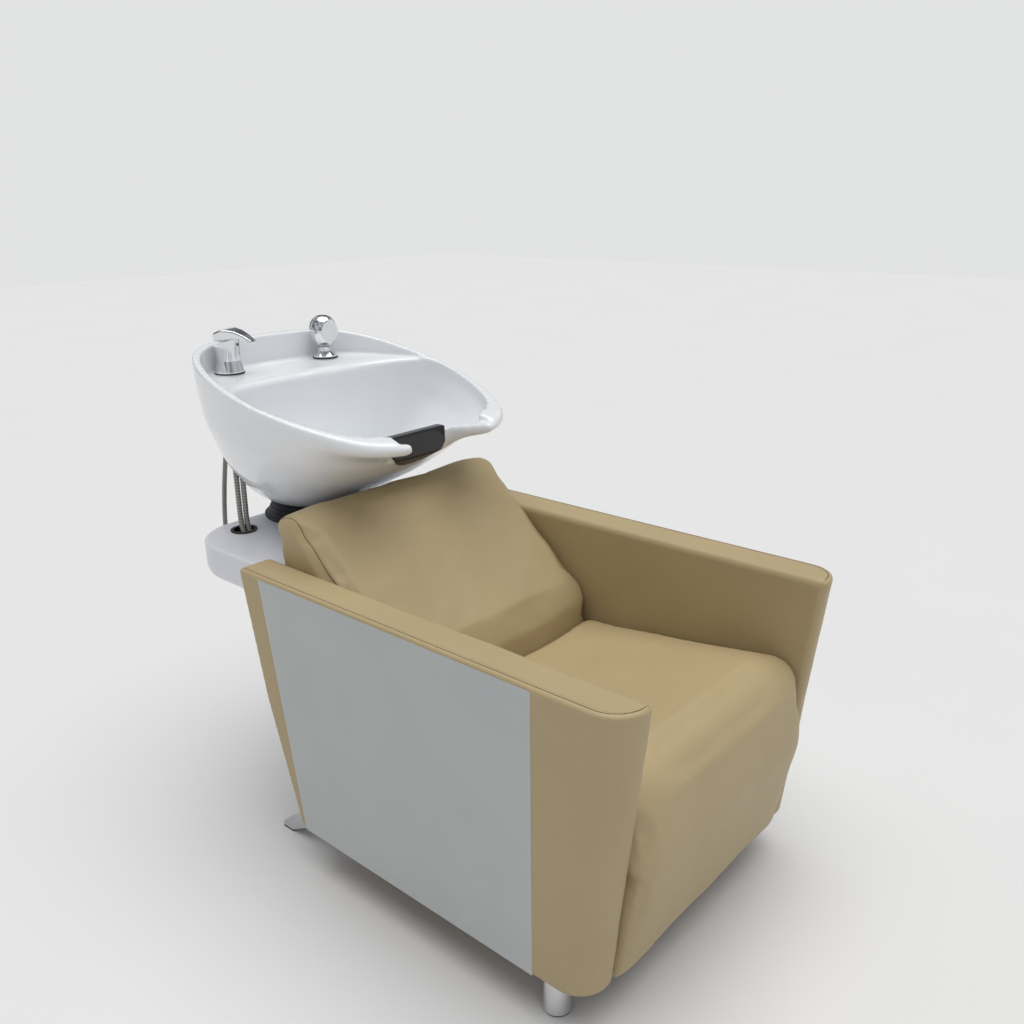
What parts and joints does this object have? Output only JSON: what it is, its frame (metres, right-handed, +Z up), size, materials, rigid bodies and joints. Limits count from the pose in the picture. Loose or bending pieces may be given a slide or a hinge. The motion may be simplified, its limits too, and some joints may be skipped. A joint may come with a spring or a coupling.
{
  "type": "hair washing bed",
  "caption": "Upholstered reclining wash chair with broad arms, a rear service platform and a tilting ceramic hair-wash bowl with mixer tap and hand shower.",
  "frame": {"origin": "floor level, under the middle of the overall length and width", "axes": "+X towards the sitter's left, +Y towards the wash bowl at the back, +Z up"},
  "size_m": [0.7, 1.2353, 1.0155],
  "materials": {
    "upholstery": "satin",
    "timber": "matte",
    "panel_grey": "satin",
    "frame_paint": "satin",
    "chrome": "polished",
    "steel": "satin",
    "brass": "satin",
    "black_plastic": "matte",
    "rubber": "satin",
    "white_shell": "satin",
    "ceramic": "gloss",
    "index_red": "gloss",
    "hose_braid": "matte",
    "hose_steel": "satin"
  },
  "bodies": {
    "chair": {"left_arm_upholstery": "upholstery", "right_arm_upholstery": "upholstery", "left_arm_core": "timber", "right_arm_core": "timber", "left_side_panel": "panel_grey", "right_side_panel": "panel_grey", "seat_cushion": "upholstery", "seat_board": "timber", "front_board": "timber", "seat_bulkhead": "timber", "back_cushion": "upholstery", "back_board": "timber", "base_frame": "frame_paint", "left_upright": "frame_paint", "right_upright": "frame_paint", "left_platform_beam": "frame_paint", "right_platform_beam": "frame_paint", "rear_access_panel": "panel_grey", "rear_panel_screws": "chrome", "left_front_leg": "chrome", "right_front_leg": "chrome", "front_leg_glides": "black_plastic", "left_rear_foot": "steel", "right_rear_foot": "steel", "rear_foot_pads": "rubber", "platform_shell": "white_shell", "platform_cover": "white_shell", "hose_grommet": "rubber", "tilt_yoke": "frame_paint", "tilt_pins": "steel", "tilt_washers": "black_plastic", "tilt_nuts": "steel", "tilt_boot": "rubber", "hot_supply_hose": "hose_braid", "cold_supply_hose": "hose_braid", "waste_hose": "black_plastic", "inlet_nuts": "brass", "service_bracket": "steel", "waste_outlet": "black_plastic"},
    "bowl": {"bowl": "ceramic", "neck_rest": "rubber", "bowl_cradle": "frame_paint", "bowl_bolts": "steel", "bowl_buffers": "rubber", "waste_flange": "chrome", "waste_gasket": "rubber", "waste_nut": "black_plastic", "mixer_body": "chrome", "mixer_cartridge": "black_plastic", "mixer_index": "index_red", "deck_gaskets": "rubber", "deck_nuts": "brass", "shower_holder": "chrome", "shower_hose": "hose_steel"},
    "strainer": {"waste_strainer": "chrome"},
    "mixer_swing": {"mixer_knuckle": "chrome"},
    "mixer_lever": {"mixer_lever": "chrome"},
    "hand_shower": {"shower_head": "chrome", "spray_face": "chrome"}
  },
  "joints": [
    {"name": "bowl_tilt", "type": "hinge", "parent": "chair", "child": "bowl", "pos_m": [0, 0.478, 0.61], "axis": [1, 0, 0], "range_deg": [-12, 0], "deforming": ["tilt_boot", "hot_supply_hose", "cold_supply_hose", "waste_hose"]},
    {"name": "strainer_lift", "type": "slide", "parent": "bowl", "child": "strainer", "axis": [0, 0, 1], "range_m": [0, 0.04]},
    {"name": "mixer_turn", "type": "hinge", "parent": "bowl", "child": "mixer_swing", "pos_m": [-0.127, 0.562, 0.987], "axis": [0, 0, 1], "range_deg": [-35, 35]},
    {"name": "mixer_lift", "type": "hinge", "parent": "mixer_swing", "child": "mixer_lever", "pos_m": [-0.127, 0.562, 0.987], "axis": [-0.9205, -0.3907, 0], "range_deg": [0, 10]},
    {"name": "hand_shower_lift", "type": "slide", "parent": "bowl", "child": "hand_shower", "axis": [0, 0, 1], "range_m": [0, 0.045], "deforming": ["shower_hose"]}
  ]
}
